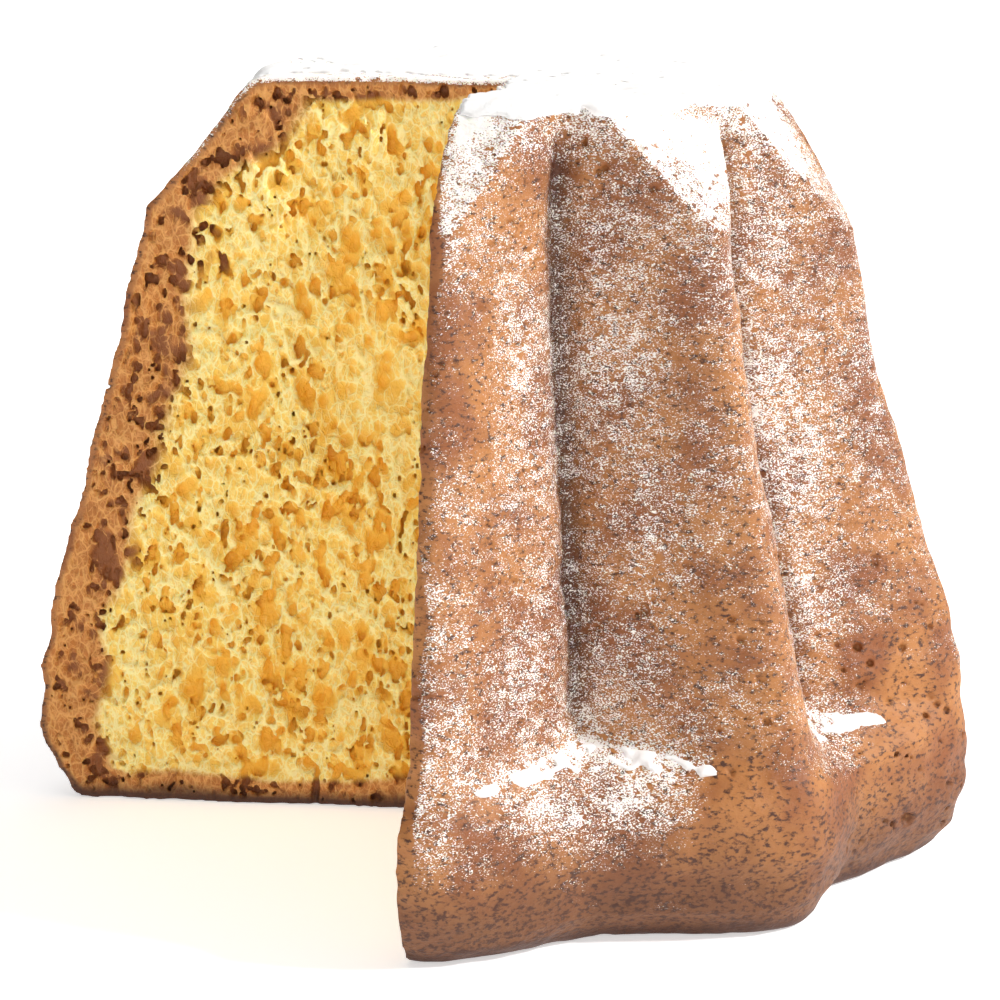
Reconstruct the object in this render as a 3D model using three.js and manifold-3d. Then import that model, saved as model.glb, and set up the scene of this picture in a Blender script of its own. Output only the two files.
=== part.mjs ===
// A pandoro: a tall sweet yeast loaf baked upside down in an eight-pointed star mould,
// turned out on its wide end, with a wedge of slices already cut away.
// Millimetres, +Z up. The flat base lies on z = 0.

import * as THREE from 'three';
import { mergeVertices } from 'three/addons/utils/BufferGeometryUtils.js';
import Module from 'manifold-3d';

// ---- Driving dimensions -------------------------------------------------------------------

const LOAF_HEIGHT = 175;

// The crests of the star: where each one points, in degrees from +X seen from above, and how
// far it reaches compared with the mould's own profile. A real loaf is a little uneven.
const RIDGES = [
  { bearing: -49.7, reach: 0.9 },
  { bearing: -12.6, reach: 0.983 },
  { bearing: 34, reach: 0.98 },
  { bearing: 80, reach: 0.96 },
  { bearing: 127, reach: 0.98 },
  { bearing: 173.5, reach: 0.965 },
  { bearing: 213, reach: 0.96 },
  { bearing: 261.5, reach: 0.885 },
];

// Radius of a crest against height, from the rolled-under base edge, over the bulge of dough
// that rose past the mould's rim, up the tapering wall of the mould.
const CREST_PROFILE = [
  { height: 0, radius: 105 },
  { height: 7, radius: 111 },
  { height: 18, radius: 114 },
  { height: 30, radius: 113.2 },
  { height: 46, radius: 111 },
  { height: 75, radius: 102 },
  { height: 105, radius: 92.8 },
  { height: 140, radius: 85.2 },
  { height: 175, radius: 81 },
];

// Each crest ends in a flat sloping facet that runs in to the small flat top.
const FACET_TOP_RADIUS = 57;
const FACET_FOOT_RADIUS = 82.5;
const FACET_FOOT_HEIGHT = 145;
const TOP_EDGE_DROP = 3;
const TOP_EDGE_INSET = 0.9;

// Depth of the flutes: how sharply the radius falls away from a crest.
const FLUTE_SLOPE = 1.3;
const CREST_ROUNDING = 0.07;
const FLUTE_ROUNDING = 1.2;
const RIDGE_SPREAD = THREE.MathUtils.degToRad(40);

// Below the mould's rim the dough swelled out and filled most of each flute, with a ledge above.
const BULGE_FILL = 0.5;
const BULGE_REACH = 0.97;
const LEDGE_LOW = 29;
const LEDGE_HIGH = 42;

// The missing wedge: its edge stands near the middle of the loaf.
const WEDGE_APEX = { x: 3.7, y: -0.4 };
const WEDGE_FROM = -186.8;
const WEDGE_TO = -102.9;
const WEDGE_REACH = 170;
const WEDGE_MARGIN = 10;

// Fineness of the mesh.
const SEGMENTS_AROUND = 96;
const WALL_HEIGHTS = [7, 14, 22, 29, 33, 37, 42, 56, 75, 95, 115, 132, 145, 154, 164];
const BASE_RING_SHARES = [0.55];
const TOP_RING_SHARES = [0.5];

// ---- The shape of the loaf ----------------------------------------------------------------

function smoothStep(low, high, value) {
  const share = THREE.MathUtils.clamp((value - low) / (high - low), 0, 1);
  return share * share * (3 - 2 * share);
}

function crestRadius(height) {
  const above = CREST_PROFILE.findIndex((station) => station.height > height);
  if (above < 0) {
    return CREST_PROFILE[CREST_PROFILE.length - 1].radius;
  }
  const low = CREST_PROFILE[above - 1];
  const high = CREST_PROFILE[above];
  const share = (height - low.height) / (high.height - low.height);
  return THREE.MathUtils.lerp(low.radius, high.radius, share);
}

function facetRadius(height) {
  const rise = (LOAF_HEIGHT - height) / (LOAF_HEIGHT - FACET_FOOT_HEIGHT);
  return THREE.MathUtils.lerp(FACET_TOP_RADIUS, FACET_FOOT_RADIUS, rise);
}

// The surface of one ridge: two walls that fall away from its crest, and its facet.
function ridgeRadius(ridge, angle, height) {
  const turn = angle - THREE.MathUtils.degToRad(ridge.bearing);
  const away = Math.abs(Math.atan2(Math.sin(turn), Math.cos(turn)));
  if (away > RIDGE_SPREAD) {
    return 0;
  }
  const side = Math.sin(away);
  const rounded = Math.sqrt(side * side + CREST_ROUNDING * CREST_ROUNDING) - CREST_ROUNDING;
  const facetReach = (1 + ridge.reach) / 2;
  const wall = (ridge.reach * crestRadius(height)) / (Math.cos(away) + FLUTE_SLOPE * rounded);
  const facet = (facetReach * facetRadius(height)) / Math.cos(away);
  return Math.min(wall, facet);
}

// The ridges blended where they meet in the flutes.
function starRadius(angle, height) {
  let sum = 0;
  for (const ridge of RIDGES) {
    sum += Math.exp(ridgeRadius(ridge, angle, height) / FLUTE_ROUNDING);
  }
  return FLUTE_ROUNDING * Math.log(sum);
}

// The loaf's outline: the star, with its flutes partly filled by the bulge near the base.
function outlineRadius(angle, height) {
  const fill = BULGE_FILL * (1 - smoothStep(LEDGE_LOW, LEDGE_HIGH, height));
  return THREE.MathUtils.lerp(starRadius(angle, height), BULGE_REACH * crestRadius(height), fill);
}

// A ring of the turned profile: its height, its share of the outline there, and the height
// whose outline it takes.
function profileRings() {
  const rings = [{ share: 0, height: 0, outline: 0 }];
  for (const share of BASE_RING_SHARES) {
    rings.push({ share, height: 0, outline: 0 });
  }
  rings.push({ share: 1, height: 0, outline: 0 });
  for (const height of WALL_HEIGHTS) {
    rings.push({ share: 1, height, outline: height });
  }
  rings.push({ share: 1, height: LOAF_HEIGHT - TOP_EDGE_DROP, outline: LOAF_HEIGHT - TOP_EDGE_DROP });
  rings.push({ share: TOP_EDGE_INSET, height: LOAF_HEIGHT, outline: LOAF_HEIGHT });
  for (const share of TOP_RING_SHARES) {
    rings.push({ share, height: LOAF_HEIGHT, outline: LOAF_HEIGHT });
  }
  rings.push({ share: 0, height: LOAF_HEIGHT, outline: LOAF_HEIGHT });
  return rings;
}

// A turned body with a unit outline, whose rings are then drawn out to the star.
function starLoafGeometry() {
  const rings = profileRings();
  const profile = rings.map((ring, index) => new THREE.Vector2(ring.share, index));
  const lathe = new THREE.LatheGeometry(profile, SEGMENTS_AROUND);
  lathe.rotateX(Math.PI / 2);
  lathe.deleteAttribute('normal');
  lathe.deleteAttribute('uv');
  const geometry = mergeVertices(lathe);
  const position = geometry.attributes.position;
  for (let i = 0; i < position.count; i += 1) {
    const ring = rings[Math.round(position.getZ(i))];
    const angle = Math.atan2(position.getY(i), position.getX(i));
    const radius = ring.share * outlineRadius(angle, ring.outline);
    position.setXYZ(i, radius * Math.cos(angle), radius * Math.sin(angle), ring.height);
  }
  return mergeVertices(geometry);
}

// The space left by the slices that were taken, taller than the loaf at both ends.
function wedgeGeometry() {
  const from = THREE.MathUtils.degToRad(WEDGE_FROM);
  const to = THREE.MathUtils.degToRad(WEDGE_TO);
  const middle = (from + to) / 2;
  const outer = WEDGE_REACH / Math.cos((to - from) / 2);
  const outline = new THREE.Shape();
  outline.moveTo(WEDGE_APEX.x, WEDGE_APEX.y);
  outline.lineTo(WEDGE_APEX.x + WEDGE_REACH * Math.cos(from), WEDGE_APEX.y + WEDGE_REACH * Math.sin(from));
  outline.lineTo(WEDGE_APEX.x + outer * Math.cos(middle), WEDGE_APEX.y + outer * Math.sin(middle));
  outline.lineTo(WEDGE_APEX.x + WEDGE_REACH * Math.cos(to), WEDGE_APEX.y + WEDGE_REACH * Math.sin(to));
  outline.closePath();
  const depth = LOAF_HEIGHT + 2 * WEDGE_MARGIN;
  const wedge = new THREE.ExtrudeGeometry(outline, { depth, bevelEnabled: false });
  wedge.translate(0, 0, -WEDGE_MARGIN);
  wedge.deleteAttribute('normal');
  wedge.deleteAttribute('uv');
  return mergeVertices(wedge);
}

// ---- Cutting ------------------------------------------------------------------------------

function toSolid(wasm, geometry) {
  const vertProperties = new Float32Array(geometry.attributes.position.array);
  const triVerts = new Uint32Array(geometry.index.array);
  return new wasm.Manifold(new wasm.Mesh({ numProp: 3, vertProperties, triVerts }));
}

function toGeometry(solid) {
  const mesh = solid.getMesh();
  const geometry = new THREE.BufferGeometry();
  geometry.setAttribute('position', new THREE.BufferAttribute(new Float32Array(mesh.vertProperties), 3));
  geometry.setIndex(new THREE.BufferAttribute(new Uint32Array(mesh.triVerts), 1));
  return geometry;
}

// Moves the loaf so that the middle of its footprint stands over the origin.
function centreOnFootprint(geometry) {
  geometry.computeBoundingBox();
  const middle = geometry.boundingBox.getCenter(new THREE.Vector3());
  geometry.translate(-middle.x, -middle.y, 0);
}

async function cutLoafGeometry() {
  const wasm = await Module();
  wasm.setup();
  const whole = toSolid(wasm, starLoafGeometry());
  const slices = toSolid(wasm, wedgeGeometry());
  const geometry = toGeometry(whole.subtract(slices));
  centreOnFootprint(geometry);
  geometry.computeVertexNormals();
  return geometry;
}

// ---- The piece ----------------------------------------------------------------------------

function bakedCrust() {
  return new THREE.MeshStandardMaterial({ color: 0xb9793f, roughness: 0.85, metalness: 0 });
}

const loaf = new THREE.Mesh(await cutLoafGeometry(), bakedCrust());
loaf.name = 'loaf';

const pandoro = new THREE.Group();
pandoro.name = 'pandoro';
pandoro.add(loaf);

export default pandoro;
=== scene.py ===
import math

import bpy
import numpy as np
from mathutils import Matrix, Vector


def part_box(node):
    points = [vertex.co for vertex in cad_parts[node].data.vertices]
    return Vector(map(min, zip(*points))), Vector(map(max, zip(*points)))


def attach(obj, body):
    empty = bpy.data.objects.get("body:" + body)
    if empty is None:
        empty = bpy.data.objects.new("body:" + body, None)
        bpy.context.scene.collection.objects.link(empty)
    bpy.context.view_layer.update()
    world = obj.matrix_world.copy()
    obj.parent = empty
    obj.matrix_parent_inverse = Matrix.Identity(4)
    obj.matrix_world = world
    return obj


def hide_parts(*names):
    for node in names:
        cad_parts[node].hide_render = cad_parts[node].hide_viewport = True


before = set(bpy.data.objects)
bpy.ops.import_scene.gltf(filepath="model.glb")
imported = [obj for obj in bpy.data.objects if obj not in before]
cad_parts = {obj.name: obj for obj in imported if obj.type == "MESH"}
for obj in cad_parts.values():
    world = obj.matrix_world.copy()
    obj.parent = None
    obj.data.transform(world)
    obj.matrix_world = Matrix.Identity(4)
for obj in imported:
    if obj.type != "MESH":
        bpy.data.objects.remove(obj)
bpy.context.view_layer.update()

import openvdb
from mathutils import Vector


# ---- The baked loaf -------------------------------------------------------------------------
# A pandoro: one sweet egg-and-butter yeast dough, baked upside down in an eight-pointed star
# mould and turned out on its wide end. A wedge of slices has been cut and torn away, so it has a
# thin brown oven crust outside and soft yellow crumb on two upright faces.

MM = 0.001
BOX_LOW, BOX_HIGH = (Vector(corner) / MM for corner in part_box("loaf"))
LOAF_HEIGHT = BOX_HIGH.z - BOX_LOW.z
MIDDLE = (BOX_LOW + BOX_HIGH) / 2

# Where each crest of the star points, in degrees from +X, and how far it reaches.
RIDGES = (
    (-49.7, 0.9), (-12.6, 0.983), (34, 0.98), (80, 0.96),
    (127, 0.98), (173.5, 0.965), (213, 0.96), (261.5, 0.885),
)

# The crest's radius against height, in mm: rolled-under base edge, bulge, tapering wall.
CREST_HEIGHTS = (0, 7, 18, 30, 46, 75, 105, 140, 175)
CREST_RADII = (105, 111, 114, 113.2, 111, 102, 92.8, 85.2, 81)

# The sloping facet each crest ends in, the depth of the flutes between crests, the crease down
# each flute, and the bulge of dough that half fills the flutes below the mould's rim.
FACET_TOP_RADIUS = 57
FACET_FOOT_RADIUS = 82.5
FACET_FOOT_HEIGHT = 145
FLUTE_SLOPE = 1.3
CREASE_DEPTH = 4
CREASE_WIDTH = 3.5
CREASE_TOP_LOW = 158
CREASE_TOP_HIGH = 173
CREST_ROUNDING = 0.07
FLUTE_ROUNDING = 1.2
RIDGE_SPREAD = math.radians(40)
BULGE_FILL = 0.5
BULGE_REACH = 0.97
LEDGE_LOW = 29
LEDGE_HIGH = 42

# The mould's axis and the corner of the missing wedge, measured from the middle of the footprint.
AXIS = (MIDDLE.x + 0.1, MIDDLE.y - 1.8)
WEDGE_APEX = (MIDDLE.x + 3.8, MIDDLE.y - 2.2)
WEDGE_FROM = math.radians(-186.8)
WEDGE_TO = math.radians(-102.9)


def smooth_step(low, high, value):
    """0 below one value, 1 above another, smooth between."""
    share = np.clip((value - low) / (high - low), 0, 1)
    return share * share * (3 - 2 * share)


def ridge_radius(bearing, reach, angle, height):
    """One ridge of the star: two walls that fall away from its crest, and its sloping facet."""
    turn = angle - math.radians(bearing)
    away = np.abs(np.arctan2(np.sin(turn), np.cos(turn)))
    rounded = np.sqrt(np.sin(away) ** 2 + CREST_ROUNDING**2) - CREST_ROUNDING
    crest = np.interp(height, CREST_HEIGHTS, CREST_RADII)
    wall = reach * crest / (np.cos(away) + FLUTE_SLOPE * rounded)
    rise = (LOAF_HEIGHT - height) / (LOAF_HEIGHT - FACET_FOOT_HEIGHT)
    facet = FACET_TOP_RADIUS + (FACET_FOOT_RADIUS - FACET_TOP_RADIUS) * rise
    facet = (1 + reach) / 2 * facet / np.cos(away)
    return np.where(away < RIDGE_SPREAD, np.minimum(wall, facet), 0)


def crest_lead(angle, height):
    """How far the nearest ridge stands out over the next one: zero down the middle of a flute."""
    radii = np.stack([ridge_radius(*ridge, angle, height) for ridge in RIDGES])
    second, first = np.partition(radii, -2, axis=0)[-2:]
    return first - second


def flute_crease(angle, height):
    """1 in the sharp crease down a flute, above the bulge and below the facets, 0 elsewhere."""
    span = smooth_step(LEDGE_HIGH - 2, LEDGE_HIGH + 8, height)
    span = span * (1 - smooth_step(CREASE_TOP_LOW, CREASE_TOP_HIGH, height))
    return span * np.exp(-(crest_lead(angle, height) / CREASE_WIDTH) ** 2)


def outline_radius(angle, height):
    """The star with a crease down each flute, partly filled by the bulge of dough near the base."""
    blend = sum(np.exp(ridge_radius(*ridge, angle, height) / FLUTE_ROUNDING) for ridge in RIDGES)
    star = FLUTE_ROUNDING * np.log(blend) - CREASE_DEPTH * flute_crease(angle, height)
    crest = np.interp(height, CREST_HEIGHTS, CREST_RADII)
    fill = BULGE_FILL * (1 - smooth_step(LEDGE_LOW, LEDGE_HIGH, height))
    return star + (BULGE_REACH * crest - star) * fill


# The loaf is worked out as a field of distances, in mm, on a grid of small cells: below zero is
# dough, above zero is air. Its skin is then drawn where the field is zero, as one closed mesh.
CELL = 0.6
MARGIN = 5
MARGIN_BELOW = 3.0
MARGIN_ABOVE = 6.0
GRID_LOW = np.array([BOX_LOW.x - MARGIN, BOX_LOW.y - MARGIN, -MARGIN_BELOW])
GRID_HIGH = np.array([BOX_HIGH.x + MARGIN, BOX_HIGH.y + MARGIN, LOAF_HEIGHT + MARGIN_ABOVE])
COUNTS = np.ceil((GRID_HIGH - GRID_LOW) / CELL).astype(int) + 1
XS, YS, ZS = (GRID_LOW[i] + CELL * np.arange(COUNTS[i]) for i in range(3))
FAR = 6.0

# The outline, its slopes and its creases, worked out once for each bearing and height.
ANGLE_STEPS = 2880
angle_table = np.linspace(-math.pi, math.pi, ANGLE_STEPS, endpoint=False)
radius_table = outline_radius(angle_table[:, None], ZS[None, :])
around = np.roll(radius_table, -1, 0) - np.roll(radius_table, 1, 0)
around /= 2 * (2 * math.pi / ANGLE_STEPS) * radius_table
upward = np.gradient(radius_table, CELL, axis=1)
steepness = 1 / np.sqrt(1 + around**2 + upward**2)
slope_table = -upward * steepness
lead_table = crest_lead(angle_table[:, None], ZS[None, :])
crease_table = flute_crease(angle_table[:, None], ZS[None, :])


def spline_reach(places, spacing):
    """For places along one axis: the first of the four lattice values near each, and their shares."""
    at = (places - places[0]) / spacing
    first = np.floor(at).astype(int)
    part = at - first
    shares = (
        (1 - part) ** 3 / 6,
        (3 * part**3 - 6 * part**2 + 4) / 6,
        (-3 * part**3 + 3 * part**2 + 3 * part + 1) / 6,
        part**3 / 6,
    )
    return first, np.stack(shares).astype(np.float32)


class Unevenness:
    """Soft random bumps of one size in mm, which may differ in height from their width."""

    def __init__(self, seed, width, height=None):
        self.x_first, self.x_shares = spline_reach(XS, width)
        self.y_first, self.y_shares = spline_reach(YS, width)
        self.z_first, self.z_shares = spline_reach(ZS, height or width)
        shape = (self.x_first[-1] + 4, self.y_first[-1] + 4, self.z_first[-1] + 4)
        self.lattice = 3.0 * np.random.default_rng(seed).standard_normal(shape).astype(np.float32)

    def layer(self, k):
        """The bumps on the grid's layer k."""
        low = self.z_first[k]
        flat = self.lattice[:, :, low:low + 4] @ self.z_shares[:, k]
        rows = sum(self.x_shares[i][:, None] * flat[self.x_first + i] for i in range(4))
        return sum(self.y_shares[i] * rows[:, self.y_first + i] for i in range(4))

    def at(self, index):
        """Values near points given in grid units."""
        total = np.zeros(len(index), np.float32)
        low = np.clip(np.floor(index).astype(int), 0, COUNTS - 1)
        order = np.argsort(low[:, 2], kind="stable")
        edges = np.searchsorted(low[order, 2], np.arange(len(ZS) + 1))
        for k in range(len(ZS)):
            rows = order[edges[k]:edges[k + 1]]
            if len(rows):
                total[rows] = self.layer(k)[low[rows, 0], low[rows, 1]]
        return total


# Unevenness of the dough, from the lean of whole ridges down to the grain of the crust, and the
# unevenness of the tear: long waves, and a net of sharp little tufts and shreds.
lumps = Unevenness(11, 34)
dimples = Unevenness(12, 9)
grain = Unevenness(13, 3.2)
fine_grain = Unevenness(14, 1.7)
creases = Unevenness(15, 16, 3.4)
torn_waves = Unevenness(21, 8, 11)
torn_tufts = Unevenness(22, 2.6, 3.8)
torn_shreds = Unevenness(23, 1.5, 2.0)

grid_x, grid_y = np.meshgrid(XS - AXIS[0], YS - AXIS[1], indexing="ij")
grid_rho = np.hypot(grid_x, grid_y).astype(np.float32)
grid_turn = (np.arctan2(grid_y, grid_x) + math.pi) / (2 * math.pi) * ANGLE_STEPS
turn_low = np.floor(grid_turn).astype(int) % ANGLE_STEPS
turn_part = (grid_turn - np.floor(grid_turn)).astype(np.float32)
turn_high = (turn_low + 1) % ANGLE_STEPS


def spread_table(table, k):
    """One height of a table over bearings, at every grid column."""
    column = table[:, k].astype(np.float32)
    return column[turn_low] * (1 - turn_part) + column[turn_high] * turn_part


def knife_distance(x, y, bearing, side):
    """Distance from a cut face, above zero on the side where slices are gone."""
    from_apex_x = x - WEDGE_APEX[0]
    from_apex_y = y - WEDGE_APEX[1]
    return side * (from_apex_y * math.cos(bearing) - from_apex_x * math.sin(bearing))


plane_x, plane_y = np.meshgrid(XS, YS, indexing="ij")
left_knife = knife_distance(plane_x, plane_y, WEDGE_FROM, 1).astype(np.float32)
front_knife = knife_distance(plane_x, plane_y, WEDGE_TO, -1).astype(np.float32)
knives = np.minimum(left_knife, front_knife)

# The top rises a little towards the back.
TOP_LEAN = 0.05
lift = TOP_LEAN * np.maximum(grid_y, 0).astype(np.float32)
TOP_ROUNDING = 4.0
BASE_ROUNDING = 2.0


def smooth_max(a, b, rounding):
    """The larger of two distances, with the corner between them rounded off."""
    overlap = np.maximum(rounding - np.abs(a - b), 0) / rounding
    return np.maximum(a, b) + overlap * overlap * rounding / 4


# How far each unevenness moves the wall and the torn faces, in mm, and the part of the wall's that
# is used. crust_field is the loaf before cutting, tear_field the torn faces without fine tufts.
LUMP_HEIGHT = 1.3
DIMPLE_DEPTH = 0.5
GRAIN_HEIGHT = 0.24
FINE_GRAIN_HEIGHT = 0.15
CREASE_HEIGHT = 0.75
WALL_UNEVENNESS = 0.5
WAVE_HEIGHT = 0.8
TUFT_HEIGHT = 0.8
SHRED_HEIGHT = 0.6
TUFT_SINK = 0.3

field = np.empty(tuple(COUNTS), np.float32)
crust_field = np.empty(tuple(COUNTS), np.float16)
tear_field = np.empty(tuple(COUNTS), np.float16)
for k, height in enumerate(ZS):
    wall = (grid_rho - spread_table(radius_table, k)) * spread_table(steepness, k)
    low_down = 1 - smooth_step(20, 110, height)
    bumps = LUMP_HEIGHT * lumps.layer(k) + DIMPLE_DEPTH * dimples.layer(k) + GRAIN_HEIGHT * grain.layer(k)
    bumps += FINE_GRAIN_HEIGHT * fine_grain.layer(k) + CREASE_HEIGHT * low_down * creases.layer(k)
    top = height - LOAF_HEIGHT + 0.6 - lift + 0.2 * dimples.layer(k) + 0.06 * fine_grain.layer(k)
    base = -height + 0.12 * np.abs(grain.layer(k)) * np.ones_like(wall)
    outside = smooth_max(wall + WALL_UNEVENNESS * bumps + 0.3, top, TOP_ROUNDING)
    outside = smooth_max(outside, base, BASE_ROUNDING)
    raggedness = 0.3 + 0.7 * smooth_step(1, 10, -outside)
    torn = knives + WAVE_HEIGHT * raggedness * torn_waves.layer(k)
    tufts = TUFT_HEIGHT * np.abs(torn_tufts.layer(k)) + SHRED_HEIGHT * np.abs(torn_shreds.layer(k))
    tufts = raggedness * (tufts - TUFT_SINK)
    field[:, :, k] = np.maximum(outside, torn + tufts)
    crust_field[:, :, k] = np.clip(outside, -FAR, FAR)
    tear_field[:, :, k] = np.clip(torn, -FAR, FAR)


def read_grid(values, index):
    """Values between grid points, for points given in grid units."""
    low = np.clip(np.floor(index).astype(int), 0, COUNTS - 2)
    part = (index - low).astype(np.float32)
    total = np.zeros(len(index), np.float32)
    for corner in range(8):
        steps = np.array([corner & 1, corner >> 1 & 1, corner >> 2 & 1])
        weight = np.prod(np.where(steps == 1, part, 1 - part), axis=1)
        place = low + steps
        total += weight * values[place[:, 0], place[:, 1], place[:, 2]]
    return total


def press_bubble(cells, centre, radii, lean):
    """Hollows an egg-shaped gas cell, which leans along the cut faces, into a grid of cells."""
    reach = max(radii) + CELL
    low = np.maximum(np.floor((centre - reach - GRID_LOW) / CELL).astype(int), 0)
    high = np.minimum(np.ceil((centre + reach - GRID_LOW) / CELL).astype(int) + 1, COUNTS)
    if np.any(low >= high):
        return
    away_x = XS[low[0]:high[0], None, None] - centre[0]
    away_y = YS[None, low[1]:high[1], None] - centre[1]
    above = ZS[None, None, low[2]:high[2]] - centre[2]
    sideways = (away_x + away_y) * math.sqrt(0.5)
    depthways = (away_x - away_y) * math.sqrt(0.5)
    first = sideways * math.cos(lean) - above * math.sin(lean)
    third = sideways * math.sin(lean) + above * math.cos(lean)
    size = np.sqrt((first / radii[0]) ** 2 + (depthways / radii[1]) ** 2 + (third / radii[2]) ** 2)
    block = cells[low[0]:high[0], low[1]:high[1], low[2]:high[2]]
    np.maximum(block, (1 - size) * min(radii), out=block)


# The crumb's gas cells: a tight net of small ones in a shallow layer behind each cut face. Near
# the middle they are drawn upwards as the dough rose; near the crust they are smaller.
BUBBLES_PER_FACE = 25000
BUBBLE_DEPTH = 2.6
TUNNELS_PER_FACE = 90
FACE_LENGTH = 114
TUNNEL_ZONE = (8, 62)
CRUST_THICKNESS = 1.3
TOASTED_DEPTH = 14

cells = np.full(tuple(COUNTS), -FAR, np.float32)
bubble_draws = np.random.default_rng(31)
for bearing, inwards in ((WEDGE_FROM, 1), (WEDGE_TO, -1)):
    count = BUBBLES_PER_FACE
    along = bubble_draws.uniform(0, FACE_LENGTH, count)
    heights = bubble_draws.uniform(2, LOAF_HEIGHT - 3, count)
    depths = bubble_draws.uniform(-1.5, BUBBLE_DEPTH, count)
    sizes = bubble_draws.lognormal(-0.42, 0.36, count)
    leans = bubble_draws.normal(0, 0.35, count)
    stretches = bubble_draws.uniform(1.0, 1.9, count)
    tunnels = np.arange(count) < TUNNELS_PER_FACE
    sizes[tunnels] = bubble_draws.uniform(1.3, 2.4, TUNNELS_PER_FACE)
    stretches[tunnels] = bubble_draws.uniform(1.5, 3.2, TUNNELS_PER_FACE)
    depths[tunnels] = bubble_draws.uniform(0.0, 1.5, TUNNELS_PER_FACE)
    along[tunnels] = bubble_draws.uniform(*TUNNEL_ZONE, TUNNELS_PER_FACE)
    leans += 0.7 * smooth_step(30, 100, along) + 0.6 * (1 - smooth_step(5, 45, heights))
    xs = WEDGE_APEX[0] + along * math.cos(bearing) + inwards * depths * math.sin(bearing)
    ys = WEDGE_APEX[1] + along * math.sin(bearing) - inwards * depths * math.cos(bearing)
    centres = np.stack([xs, ys, heights], axis=1)
    crust_depths = -read_grid(crust_field, (centres - GRID_LOW) / CELL)
    sizes = np.where(crust_depths < TOASTED_DEPTH, 0.8 * sizes, sizes)
    kept = crust_depths > sizes + CRUST_THICKNESS
    for centre, size, stretch, lean in zip(centres[kept], sizes[kept], stretches[kept], leans[kept]):
        press_bubble(cells, centre, (size * 0.85, size * 0.65, size * stretch), lean)

# Pores in the crust, where small bubbles broke against the mould: wider than they are tall.
CRUST_PORES = 3600
WIDEST_PORE = 1.2
pore_draws = np.random.default_rng(41)
for _ in range(CRUST_PORES):
    bearing = pore_draws.uniform(-math.pi, math.pi)
    height = pore_draws.uniform(4, LOAF_HEIGHT - 6)
    size = min(pore_draws.lognormal(-0.7, 0.32), WIDEST_PORE)
    stretch = pore_draws.uniform(1, 1.8)
    radius = float(outline_radius(bearing, height)) + 0.2 * size
    pore_x = AXIS[0] + radius * math.cos(bearing)
    pore_y = AXIS[1] + radius * math.sin(bearing)
    centre = np.array([pore_x, pore_y, height])
    press_bubble(cells, centre, (size * stretch, size, size), 0)

# The walls between gas cells are torn and frayed, so the cells' edges are roughened too.
FRAY_HEIGHT = 0.16
for k in range(len(ZS)):
    frayed = cells[:, :, k] + FRAY_HEIGHT * torn_shreds.layer(k)
    np.maximum(field[:, :, k], frayed, out=field[:, :, k])
del cells
np.clip(field, -FAR, FAR, out=field)


def draw_skin(values):
    """The closed surface where a field is zero, as points in grid units and four-cornered faces."""
    volume = openvdb.FloatGrid(FAR)
    volume.copyFromArray(values)
    points, faces = volume.convertToQuads(isovalue=0.0)
    return points.astype(np.float64), faces[:, ::-1].astype(np.int64)


def keep_bodies(points, faces, fewest=None):
    """Keeps the bodies with at least the fewest points, or only the largest body."""
    label = np.arange(len(points))
    first = faces.ravel()
    second = faces[:, [1, 2, 3, 0]].ravel()
    while len(first):
        lowest = np.minimum(label[first], label[second])
        np.minimum.at(label, label[first], lowest)
        np.minimum.at(label, label[second], lowest)
        while not np.array_equal(label, label[label]):
            label = label[label]
        apart = label[first] != label[second]
        first = first[apart]
        second = second[apart]
    _, places, sizes = np.unique(label, return_inverse=True, return_counts=True)
    kept = sizes[places] >= (fewest or sizes.max())
    renumber = np.cumsum(kept) - 1
    return points[kept], renumber[faces[kept[faces[:, 0]]]]


def volume_of(points, faces):
    """The volume inside a closed mesh of four-cornered faces, below zero if it is inside out."""
    a, b, c, d = (points[faces[:, i]] for i in range(4))
    halves = np.cross(a - c, b - d)
    return float(np.sum(halves * (a + b + c + d) / 4)) / 6


def make_piece(name, index_points, faces):
    """A mesh piece, in metres, from points in grid units and four-cornered faces, shaded smooth."""
    points = GRID_LOW + CELL * index_points
    if volume_of(points, faces) < 0:
        faces = faces[:, ::-1]
    points[:, 2] = np.maximum(points[:, 2], 0)
    mesh = bpy.data.meshes.new(name)
    mesh.vertices.add(len(points))
    mesh.vertices.foreach_set("co", (points * MM).astype(np.float32).ravel())
    mesh.loops.add(faces.size)
    mesh.loops.foreach_set("vertex_index", faces.astype(np.int32).ravel())
    mesh.polygons.add(len(faces))
    mesh.polygons.foreach_set("loop_start", np.arange(0, faces.size, 4, dtype=np.int32))
    mesh.polygons.foreach_set("use_smooth", np.ones(len(faces), bool))
    mesh.update(calc_edges=True)
    piece = bpy.data.objects.new(name, mesh)
    bpy.context.collection.objects.link(piece)
    return piece, points


def paint(piece, name, values):
    """Gives each point of a piece a named value that its material reads."""
    layer = piece.data.attributes.new(name, "FLOAT", "POINT")
    layer.data.foreach_set("value", values.astype(np.float32))


loaf_index, loaf_faces = keep_bodies(*draw_skin(field))
loaf, loaf_points = make_piece("loaf_baked", loaf_index, loaf_faces)
del field

crust_depth = -read_grid(crust_field, loaf_index)
tear_depth = -read_grid(tear_field, loaf_index)
top_depth = LOAF_HEIGHT - loaf_points[:, 2]
base_depth = loaf_points[:, 2]
drift = lumps.at(loaf_index)
mottle = dimples.at(loaf_index)


def table_at(table, points):
    """A table over bearings and heights, at points."""
    bearing = np.arctan2(points[:, 1] - AXIS[1], points[:, 0] - AXIS[0])
    row = ((bearing + math.pi) / (2 * math.pi) * ANGLE_STEPS).astype(int) % ANGLE_STEPS
    column = np.clip(np.rint((points[:, 2] - ZS[0]) / CELL).astype(int), 0, len(ZS) - 1)
    return table[row, column]


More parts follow.
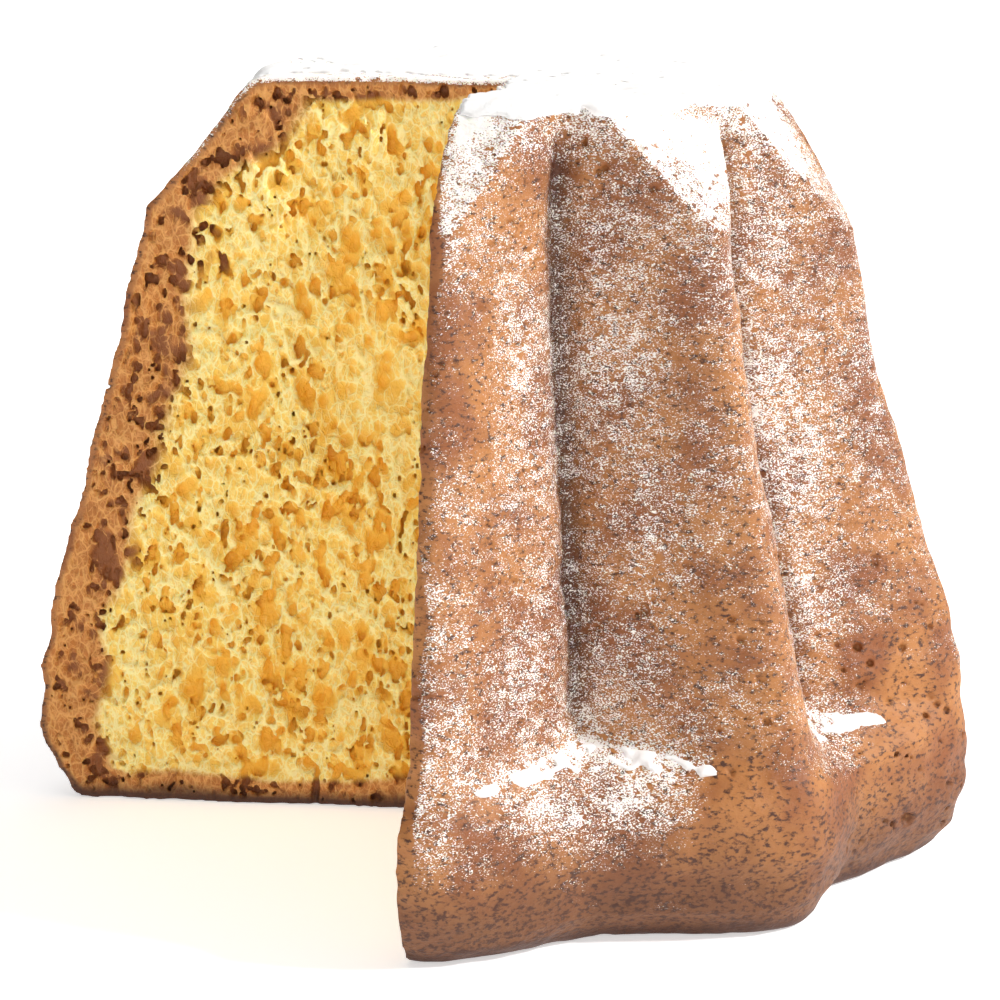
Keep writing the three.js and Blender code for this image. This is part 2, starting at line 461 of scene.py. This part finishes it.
# The oven browned the crumb about 13 mm in through the tall side wall, and only a few mm at the
# top and the base. "skin" is the crust itself; "hollow" is the depth of a gas cell or tear.
side_distance = table_at(radius_table, loaf_points) - np.hypot(
    loaf_points[:, 0] - AXIS[0], loaf_points[:, 1] - AXIS[1])
side_depth = np.maximum(side_distance * table_at(steepness, loaf_points), 0)
nearest_edge = np.minimum(np.minimum(side_depth, top_depth * 2.6), base_depth * 2.2)
paint(loaf, "browned", 1 - smooth_step(10.5, 19.0, nearest_edge + 1.2 * mottle))
skin = 1 - smooth_step(1.0, 2.2, crust_depth)
paint(loaf, "skin", skin)
# "flute" marks the crease down each flute, which the material darkens as painted shade.
paint(loaf, "flute", table_at(crease_table, loaf_points) * skin)
paint(loaf, "rim", 1 - smooth_step(5, 34, base_depth + 1.5 * mottle))
paint(loaf, "charred", 1 - smooth_step(1.6, 5.0, base_depth + 0.5 * mottle))
# The material turns the hollow's depth into painted shade, amber deep in the cells.
paint(loaf, "hollow", smooth_step(0.25, 2.8, tear_depth) * (1 - skin))

# How much of the crust sifted sugar covers: most of the facets, much of the ledge above the bulge,
# about a quarter of the walls, and nearly none of the rim round the base.
loaf_normals = np.empty(len(loaf_points) * 3, np.float32)
loaf.data.vertex_normals.foreach_get("vector", loaf_normals)
facing_up = loaf_normals[2::3]
slope_up = table_at(slope_table, loaf_points)
cover = 0.25 + 0.07 * drift + 0.05 * mottle
cover += 0.33 * smooth_step(158, 171, base_depth)
on_facet = smooth_step(0.42, 0.72, slope_up + 0.05 * mottle)
cover += 0.5 * on_facet * smooth_step(128, 168, base_depth + 4 * mottle)
on_ledge = smooth_step(36.5, 39.5, base_depth + 0.6 * mottle)
on_ledge = on_ledge * (1 - smooth_step(43, 46, base_depth))
cover += 0.3 * smooth_step(0.5, 0.7, slope_up) * on_ledge
crest_lead_here = table_at(lead_table, loaf_points)
cover -= 0.1 * smooth_step(14, 24, crest_lead_here) * (1 - smooth_step(140, 150, base_depth))
cover += 0.5 * (1 - smooth_step(0.5, 3.5, top_depth))
cover += 0.06 * smooth_step(0.1, 0.5, facing_up) - 0.3 * smooth_step(0.05, 0.5, -facing_up)
cover -= 0.3 * (1 - smooth_step(16, 44, base_depth + 3.5 * mottle)) * (1 - 0.5 * on_ledge)
# Along the left cut the sugar was knocked off the edge and the brown crust shows.
left_distance = knife_distance(loaf_points[:, 0], loaf_points[:, 1], WEDGE_FROM, 1)
front_distance = knife_distance(loaf_points[:, 0], loaf_points[:, 1], WEDGE_TO, -1)
beside_cut = np.minimum(left_distance + 7, front_distance + 1)
cover -= 0.75 * smooth_step(-1.5, 1.5, beside_cut + 0.8 * mottle)
cover = np.clip(cover, 0.01, 0.98)
# The share is kept as the threshold that the material's scatter of grains is measured against.
paint(loaf, "sugared", 0.5 + 0.055 * np.log(cover / (1 - cover)) - (1 - skin))


def linear(hex_colour):
    """An sRGB hex colour as linear red, green, blue and alpha."""
    parts = [int(hex_colour[i:i + 2], 16) / 255 for i in (1, 3, 5)]
    return (*[c / 12.92 if c <= 0.04045 else ((c + 0.055) / 1.055) ** 2.4 for c in parts], 1)


def add_node(tree, kind, inputs=None, **settings):
    """Adds a node, sets its properties, and links or sets each named or numbered input."""
    node = tree.nodes.new(kind)
    for name, setting in settings.items():
        setattr(node, name, setting)
    for name, value in (inputs or {}).items():
        if isinstance(value, bpy.types.NodeSocket):
            tree.links.new(value, node.inputs[name])
        else:
            node.inputs[name].default_value = value
    return node


# The kinds of node, and the settings that blend two colours and that fade smoothly between values.
PLACE = "ShaderNodeTexCoord"
STRETCH = "ShaderNodeMapping"
POINT_VALUE = "ShaderNodeAttribute"
NOISE = "ShaderNodeTexNoise"
CELL_NET = "ShaderNodeTexVoronoi"
MATHS = "ShaderNodeMath"
VECTOR_MATHS = "ShaderNodeVectorMath"
FADE = "ShaderNodeMapRange"
BLEND = "ShaderNodeMix"
BUMP = "ShaderNodeBump"
SHADER = "ShaderNodeBsdfPrincipled"
OUTPUT = "ShaderNodeOutputMaterial"
COLOURS = {"data_type": "RGBA", "blend_type": "MIX"}
SMOOTHLY = {"interpolation_type": "SMOOTHSTEP"}


def blank_material(name):
    """A material with an empty node tree."""
    material = bpy.data.materials.new(name)
    material.use_nodes = True
    material.node_tree.nodes.clear()
    return material, material.node_tree


# Baked pandoro: a matt, slightly waxy skin of browned butter dough, golden on the crests and
# redder low down, with painted shade darkening the crease down each flute; inside, an
# egg-yellow crumb of thin see-through walls, pale on their torn edges as a painted highlight and
# amber inside the gas cells as painted shade, toasted brown towards the crust.
CRUST_GOLD = linear("#B0743E")
CRUST_BROWN = linear("#8A4F26")
CRUST_DARK = linear("#4A2817")
RIM_BROWN = linear("#6C4326")
# The flute colour is painted shade for the shadowed crease down each flute.
FLUTE_PAINTED_SHADE = linear("#4E2A1E")
# The crumb's edge colour is a painted highlight; its amber is random tone and painted shade in the cells.
CRUMB_EDGE_HIGHLIGHT = linear("#FEEBA2")
CRUMB_YELLOW = linear("#FBD060")
CRUMB_AMBER_AND_SHADE = linear("#F5B73C")
# The toasted edge colour is a painted highlight and the toasted dark colour painted shade in the cells.
TOASTED_EDGE_HIGHLIGHT = linear("#DC9F58")
TOASTED_BROWN = linear("#BC7634")
TOASTED_DARK_SHADE = linear("#8C5126")
CHARRED_BROWN = linear("#42200F")
SUGAR_WHITE = linear("#FAF3EC")

# Sizes of the patterns, in metres.
BLOTCH_SIZE = 16 * MM
FRECKLE_SIZE = 1.5 * MM
WRINKLE_SIZE = 3.2 * MM
SWAY_SIZE = 2.4 * MM
SWAY_REACH = 1.6 * MM
WIDE_CELL = 2.2 * MM
FINE_CELL = 1.0 * MM
FLECK_SIZE = 1.3 * MM
STREAK_SIZE = 8 * MM
CLUMP_SIZE = 0.42 * MM
PATCH_SIZE = 4 * MM
PIT_SIZE = 1.9 * MM
BUMP_HEIGHT = 0.5 * MM
LIGHT_REACH = 1.6 * MM

baked, tree = blank_material("baked_pandoro")
place = add_node(tree, PLACE).outputs["Object"]
flattened = add_node(tree, STRETCH, {"Vector": place, "Scale": (1, 1, 1.6)}).outputs[0]
upright = add_node(tree, STRETCH, {"Vector": place, "Scale": (1, 1, 0.6)}).outputs[0]
rim, flute, skin_share, hollow, browned, charred, sugared = (
    add_node(tree, POINT_VALUE, attribute_name=name).outputs["Fac"]
    for name in ("rim", "flute", "skin", "hollow", "browned", "charred", "sugared"))

# Crust: soft blotches of 16 mm, and freckles of 1.5 mm that lie along the wall, darker low down.
blotches = add_node(
    tree, NOISE, {"Vector": place, "Scale": 1 / BLOTCH_SIZE, "Detail": 3, "Roughness": 0.5}
).outputs["Fac"]
freckles = add_node(
    tree, NOISE, {"Vector": flattened, "Scale": 1 / FRECKLE_SIZE, "Detail": 3, "Roughness": 0.6}
).outputs["Fac"]
blotched = add_node(
    tree, FADE, {"Value": blotches, "From Min": 0.38, "From Max": 0.66}, **SMOOTHLY).outputs[0]
crust_colour = add_node(tree, BLEND, {0: blotched, 6: CRUST_GOLD, 7: CRUST_BROWN}, **COLOURS).outputs[2]
rim_share = add_node(tree, MATHS, {0: rim, 1: 0.9}, operation="MULTIPLY").outputs[0]
crust_colour = add_node(tree, BLEND, {0: rim_share, 6: crust_colour, 7: RIM_BROWN}, **COLOURS).outputs[2]
# Painted shade: the crust is darkened down the crease of each flute, where the groove lies in shade.
flute_shade_share = add_node(tree, MATHS, {0: flute, 1: 0.8}, operation="MULTIPLY").outputs[0]
crust_colour = add_node(
    tree, BLEND, {0: flute_shade_share, 6: crust_colour, 7: FLUTE_PAINTED_SHADE}, **COLOURS).outputs[2]
freckled = add_node(tree, MATHS, {0: rim, 1: 0.05, 2: freckles}, operation="MULTIPLY_ADD").outputs[0]
dark_freckles = add_node(
    tree, FADE, {"Value": freckled, "From Min": 0.5, "From Max": 0.68}, **SMOOTHLY).outputs[0]
crust_colour = add_node(
    tree, BLEND, {0: dark_freckles, 6: crust_colour, 7: CRUST_DARK}, **COLOURS).outputs[2]

# Crumb: a net of torn cell walls about 2.2 mm apart, with a finer one of 1 mm between them.
sway = add_node(tree, NOISE, {"Vector": upright, "Scale": 1 / SWAY_SIZE, "Detail": 2})
swayed = add_node(
    tree, VECTOR_MATHS,
    {0: sway.outputs["Color"], 1: (SWAY_REACH, SWAY_REACH, SWAY_REACH), 2: upright},
    operation="MULTIPLY_ADD").outputs[0]
wide_net = add_node(
    tree, CELL_NET, {"Vector": swayed, "Scale": 1 / WIDE_CELL}, feature="DISTANCE_TO_EDGE"
).outputs["Distance"]
fine_net = add_node(
    tree, CELL_NET, {"Vector": swayed, "Scale": 1 / FINE_CELL}, feature="DISTANCE_TO_EDGE"
).outputs["Distance"]
wide_walls = add_node(
    tree, FADE, {"Value": wide_net, "From Min": 0.13, "From Max": 0.01}, **SMOOTHLY).outputs[0]
fine_lines = add_node(
    tree, FADE, {"Value": fine_net, "From Min": 0.16, "From Max": 0.02}, **SMOOTHLY).outputs[0]
fine_walls = add_node(tree, MATHS, {0: fine_lines, 1: 0.6}, operation="MULTIPLY").outputs[0]
walls = add_node(tree, MATHS, {0: wide_walls, 1: fine_walls}, operation="MAXIMUM").outputs[0]
flecks = add_node(
    tree, NOISE, {"Vector": upright, "Scale": 1 / FLECK_SIZE, "Detail": 3, "Roughness": 0.6}
).outputs["Fac"]
streaks = add_node(
    tree, NOISE, {"Vector": upright, "Scale": 1 / STREAK_SIZE, "Detail": 2, "Roughness": 0.5}
).outputs["Fac"]

# How deep in a cell a place is, mixed with random streaks: amber in the hollows as painted
# shade, and pale on the walls and flecks as a painted highlight.
shallow = add_node(tree, MATHS, {0: hollow, 1: -0.25}, operation="ADD").outputs[0]
depth = add_node(tree, MATHS, {0: streaks, 1: 0.5, 2: shallow}, operation="MULTIPLY_ADD").outputs[0]
shade = add_node(tree, MATHS, {0: depth, 1: -0.65, 2: flecks}, operation="MULTIPLY_ADD").outputs[0]
pale_highlight_share = add_node(tree, MATHS, {0: walls, 1: 0.4, 2: shade}, operation="MULTIPLY_ADD").outputs[0]
amber_and_shade = add_node(
    tree, FADE, {"Value": depth, "From Min": 0.05, "From Max": 0.95}, **SMOOTHLY).outputs[0]
crumb_colour = add_node(tree, BLEND, {0: amber_and_shade, 6: CRUMB_YELLOW, 7: CRUMB_AMBER_AND_SHADE}, **COLOURS).outputs[2]
pale_highlight = add_node(
    tree, FADE, {"Value": pale_highlight_share, "From Min": 0.36, "From Max": 0.88}, **SMOOTHLY).outputs[0]
crumb_colour = add_node(tree, BLEND, {0: pale_highlight, 6: crumb_colour, 7: CRUMB_EDGE_HIGHLIGHT}, **COLOURS).outputs[2]

# Toasted crumb near the crust, in the same net: darker in the hollows as painted shade, and
# paler on the walls as a painted highlight.
toast_shade_and_streaks = add_node(
    tree, FADE, {"Value": depth, "From Min": 0, "From Max": 0.45}, **SMOOTHLY).outputs[0]
toast_colour = add_node(
    tree, BLEND, {0: toast_shade_and_streaks, 6: TOASTED_BROWN, 7: TOASTED_DARK_SHADE}, **COLOURS).outputs[2]
toast_highlight = add_node(
    tree, FADE, {"Value": pale_highlight_share, "From Min": 0.42, "From Max": 0.92}, **SMOOTHLY).outputs[0]
toast_colour = add_node(
    tree, BLEND, {0: toast_highlight, 6: toast_colour, 7: TOASTED_EDGE_HIGHLIGHT}, **COLOURS).outputs[2]
brown_start = add_node(tree, MATHS, {0: browned, 1: -0.25}, operation="ADD").outputs[0]
toasting = add_node(
    tree, MATHS, {0: streaks, 1: 0.5, 2: brown_start}, operation="MULTIPLY_ADD").outputs[0]
toast_share = add_node(
    tree, FADE, {"Value": toasting, "From Min": 0.1, "From Max": 0.9}, **SMOOTHLY).outputs[0]
crumb_colour = add_node(
    tree, BLEND, {0: toast_share, 6: crumb_colour, 7: toast_colour}, **COLOURS).outputs[2]

dough_colour = add_node(
    tree, BLEND, {0: skin_share, 6: crumb_colour, 7: crust_colour}, **COLOURS).outputs[2]
charring = add_node(tree, MATHS, {0: charred, 1: 0.85}, operation="MULTIPLY").outputs[0]
dough_colour = add_node(
    tree, BLEND, {0: charring, 6: dough_colour, 7: CHARRED_BROWN}, **COLOURS).outputs[2]

# Sifted sugar: a thin film of dust that only veils the crust, and clumps of grains on it. The
# real grains are 0.05 mm; the clumps are drawn about 0.4 mm, which is as coarse as it needs to show.
clumps = add_node(
    tree, NOISE, {"Vector": flattened, "Scale": 1 / CLUMP_SIZE, "Detail": 1.5, "Roughness": 0.6}
).outputs["Fac"]
patches = add_node(
    tree, NOISE, {"Vector": flattened, "Scale": 1 / PATCH_SIZE, "Detail": 3, "Roughness": 0.6}
).outputs["Fac"]
pit_noise = add_node(
    tree, NOISE, {"Vector": flattened, "Scale": 1 / PIT_SIZE, "Detail": 1, "Roughness": 0.5}
).outputs["Fac"]
clump_part = add_node(tree, MATHS, {0: clumps, 1: 0.7}, operation="MULTIPLY").outputs[0]
scatter = add_node(
    tree, MATHS, {0: patches, 1: 0.3, 2: clump_part}, operation="MULTIPLY_ADD").outputs[0]
pits = add_node(
    tree, FADE, {"Value": pit_noise, "From Min": 0.62, "From Max": 0.70}, **SMOOTHLY).outputs[0]
scatter = add_node(tree, MATHS, {0: pits, 1: 0.16, 2: scatter}, operation="MULTIPLY_ADD").outputs[0]
surplus = add_node(tree, MATHS, {0: sugared, 1: scatter}, operation="SUBTRACT").outputs[0]
grains = add_node(
    tree, FADE, {"Value": surplus, "From Min": -0.025, "From Max": 0.02}, **SMOOTHLY).outputs[0]
film = add_node(
    tree, FADE, {"Value": surplus, "From Min": -0.16, "From Max": 0.06}, **SMOOTHLY).outputs[0]
veil = add_node(tree, MATHS, {0: film, 1: 0.1}, operation="MULTIPLY").outputs[0]
dusted = add_node(tree, MATHS, {0: grains, 1: veil}, operation="MAXIMUM").outputs[0]
surface_colour = add_node(
    tree, BLEND, {0: dusted, 6: dough_colour, 7: SUGAR_WHITE}, **COLOURS).outputs[2]

# The finest relief: grains and freckles on the crust, cell walls on the crumb, wrinkles on the rim.
crumb_share = add_node(tree, MATHS, {0: 1.0, 1: skin_share}, operation="SUBTRACT").outputs[0]
crust_relief = add_node(
    tree, MATHS, {0: grains, 1: 0.35, 2: freckles}, operation="MULTIPLY_ADD").outputs[0]
crumb_walls = add_node(tree, MATHS, {0: walls, 1: crumb_share}, operation="MULTIPLY").outputs[0]
relief = add_node(
    tree, MATHS, {0: crumb_walls, 1: 0.35, 2: crust_relief}, operation="MULTIPLY_ADD").outputs[0]
wrinkles = add_node(
    tree, NOISE, {"Vector": flattened, "Scale": 1 / WRINKLE_SIZE, "Detail": 3, "Roughness": 0.6}
).outputs["Fac"]
rim_wrinkles = add_node(tree, MATHS, {0: wrinkles, 1: rim}, operation="MULTIPLY").outputs[0]
relief = add_node(
    tree, MATHS, {0: rim_wrinkles, 1: 2.2, 2: relief}, operation="MULTIPLY_ADD").outputs[0]
bump = add_node(tree, BUMP, {"Height": relief, "Strength": 0.6, "Distance": BUMP_HEIGHT})
roughness = add_node(tree, FADE, {"Value": dusted, "To Min": 0.6, "To Max": 0.95})
shader = add_node(
    tree, SHADER,
    {
        "Base Color": surface_colour,
        "Roughness": roughness.outputs[0],
        "IOR": 1.45,
        "Normal": bump.outputs[0],
        "Subsurface Weight": 0.25,
        "Subsurface Radius": (1.0, 0.55, 0.18),
        "Subsurface Scale": LIGHT_REACH,
    })
add_node(tree, OUTPUT, {"Surface": shader.outputs[0]})

loaf.data.materials.append(baked)
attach(loaf, "root")
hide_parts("loaf")


# ---- Icing sugar ------------------------------------------------------------------------------
# Powdered sugar sifted over the standing loaf. It lies as a thin shell on the flat top and on the
# ledge of the bulge; only its own weight holds it. Finer grains are drawn in the loaf's material.

SUGAR_SINK = 0.5
SUGAR_THICKNESS = 0.5
SUGAR_SWELL = 0.12
SUGAR_BESIDE_LEFT_CUT = 6.5
SUGAR_BESIDE_FRONT_CUT = 1.2
SUGAR_LEDGE_LOW = 33
SUGAR_LEDGE_HIGH = 45
SUGAR_TOP_DEPTH = 6
sugar_patch = Unevenness(51, 6)
sugar_edge = Unevenness(52, 1.4)

sugar_field = np.full(tuple(COUNTS), FAR, np.float32)
for k, height in enumerate(ZS):
    if not (SUGAR_LEDGE_LOW < height < SUGAR_LEDGE_HIGH or LOAF_HEIGHT - SUGAR_TOP_DEPTH < height):
        continue
    slope = spread_table(slope_table, k)
    on_top = smooth_step(LOAF_HEIGHT - 5, LOAF_HEIGHT - 1, height)
    on_ledge = smooth_step(0.5, 0.75, slope) * smooth_step(34, 37, height)
    on_ledge = on_ledge * (1 - smooth_step(41, 44, height))
    unevenness = 0.5 * sugar_patch.layer(k) + 0.5 * sugar_edge.layer(k)
    thickness = 2.6 * on_top + 1.1 * on_ledge - 1.15 + unevenness * np.maximum(on_top, on_ledge)
    thickness = np.minimum(thickness, SUGAR_THICKNESS + SUGAR_SWELL * sugar_patch.layer(k))
    crust = crust_field[:, :, k].astype(np.float32)
    shell = np.maximum(crust - thickness, -crust - SUGAR_SINK)
    kept_back = np.minimum(left_knife + SUGAR_BESIDE_LEFT_CUT, front_knife + SUGAR_BESIDE_FRONT_CUT)
    kept_back = kept_back + 0.5 * torn_waves.layer(k) + 0.5 * sugar_edge.layer(k)
    sugar_field[:, :, k] = np.clip(np.maximum(shell, kept_back), -FAR, FAR)

sugar_index, sugar_faces = keep_bodies(*draw_skin(sugar_field), fewest=60)
icing, _ = make_piece("icing_sugar", sugar_index, sugar_faces)

# Icing sugar: sucrose milled to a powder. It scatters nearly all light, with no shine, so it gives
# the eye a soft chalk white with faint hollows.
DUST_SIZE = 0.7 * MM
HOLLOW_SIZE = 6 * MM
DUST_HEIGHT = 0.3 * MM
ICING_LIGHT = linear("#FBFAF8")
ICING_SHADE = linear("#F2EEEB")

powder, tree = blank_material("icing_sugar_powder")
place = add_node(tree, PLACE).outputs["Object"]
dust = add_node(
    tree, NOISE, {"Vector": place, "Scale": 1 / DUST_SIZE, "Detail": 3, "Roughness": 0.6}
).outputs["Fac"]
hollows = add_node(
    tree, NOISE, {"Vector": place, "Scale": 1 / HOLLOW_SIZE, "Detail": 3, "Roughness": 0.5}
).outputs["Fac"]
shaded = add_node(
    tree, FADE, {"Value": hollows, "From Min": 0.35, "From Max": 0.75}, **SMOOTHLY).outputs[0]
powder_colour = add_node(tree, BLEND, {0: shaded, 6: ICING_LIGHT, 7: ICING_SHADE}, **COLOURS).outputs[2]
powder_bump = add_node(tree, BUMP, {"Height": dust, "Strength": 0.35, "Distance": DUST_HEIGHT})
powder_roughness = add_node(tree, FADE, {"Value": dust, "To Min": 0.88, "To Max": 1.0})
shader = add_node(
    tree, SHADER,
    {
        "Base Color": powder_colour,
        "Roughness": powder_roughness.outputs[0],
        "IOR": 1.5,
        "Normal": powder_bump.outputs[0],
        "Specular IOR Level": 0.25,
    })
add_node(tree, OUTPUT, {"Surface": shader.outputs[0]})
icing.data.materials.append(powder)
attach(icing, "root")


# ---- The table, the light and the camera --------------------------------------------------------
# A white studio table that runs on behind the loaf, a large soft key light from the right, a weak
# fill from the front left and a broad soft light from above.

TABLE_HALF = 3.0
TABLE_MOTTLE = 60 * MM
table_mesh = bpy.data.meshes.new("studio_table")
corners = [(-1, -1), (1, -1), (1, 1), (-1, 1)]
table_mesh.from_pydata([(x * TABLE_HALF, y * TABLE_HALF, 0) for x, y in corners], [], [(0, 1, 2, 3)])
table = bpy.data.objects.new("studio_table", table_mesh)
bpy.context.collection.objects.link(table)

# White matt table paint, lit a little from within so that it stays an even white to its edges.
table_paint, tree = blank_material("studio_white")
place = add_node(tree, PLACE).outputs["Object"]
table_mottle = add_node(
    tree, NOISE, {"Vector": place, "Scale": 1 / TABLE_MOTTLE, "Detail": 2, "Roughness": 0.5}
).outputs["Fac"]
paint_colour = add_node(
    tree, BLEND, {0: table_mottle, 6: linear("#FFFFFF"), 7: linear("#FDFDFD")}, **COLOURS).outputs[2]
shader = add_node(
    tree, SHADER,
    {
        "Base Color": paint_colour,
        "Roughness": 0.9,
        "Emission Color": (1, 1, 1, 1),
        "Emission Strength": 0.5,
    })
add_node(tree, OUTPUT, {"Surface": shader.outputs[0]})
table.data.materials.append(table_paint)

AIR_LIGHT = 0.26
AIR_SEEN = 1.0
world = bpy.data.worlds.new("studio_air")
world.use_nodes = True
air = world.node_tree
seen = add_node(air, "ShaderNodeLightPath").outputs["Is Camera Ray"]
brightness = add_node(air, FADE, {"Value": seen, "To Min": AIR_LIGHT, "To Max": AIR_SEEN}).outputs[0]
air.nodes["Background"].inputs["Color"].default_value = (1, 1, 1, 1)
air.links.new(brightness, air.nodes["Background"].inputs["Strength"])
bpy.context.scene.world = world


def soft_light(name, bearing, elevation, spread, strength):
    """A soft light as wide as spread degrees, seen from the loaf at a bearing and elevation."""
    lamp = bpy.data.lights.new(name, "SUN")
    lamp.angle = math.radians(spread)
    lamp.energy = strength
    holder = bpy.data.objects.new(name, lamp)
    holder.rotation_euler = (math.radians(90 - elevation), 0, math.radians(bearing + 90))
    bpy.context.collection.objects.link(holder)


soft_light("key_light", bearing=-9, elevation=36, spread=10, strength=3.6)
soft_light("fill_light", bearing=-95, elevation=18, spread=30, strength=0.6)
soft_light("top_light", bearing=60, elevation=75, spread=70, strength=0.8)

CAMERA_DISTANCE = 0.693
CAMERA_HEIGHT = 0.2404
CAMERA_TILT = math.radians(13.28)
CAMERA_TURN = math.radians(-0.16)
camera_data = bpy.data.cameras.new("studio_camera")
camera_data.sensor_width = 36
camera_data.lens = 110
camera = bpy.data.objects.new("studio_camera", camera_data)
camera.location = (AXIS[0] * MM, AXIS[1] * MM - CAMERA_DISTANCE, CAMERA_HEIGHT)
camera.rotation_euler = (math.pi / 2 - CAMERA_TILT, 0, CAMERA_TURN)
bpy.context.collection.objects.link(camera)
bpy.context.scene.camera = camera
bpy.context.scene.view_settings.view_transform = "Standard"
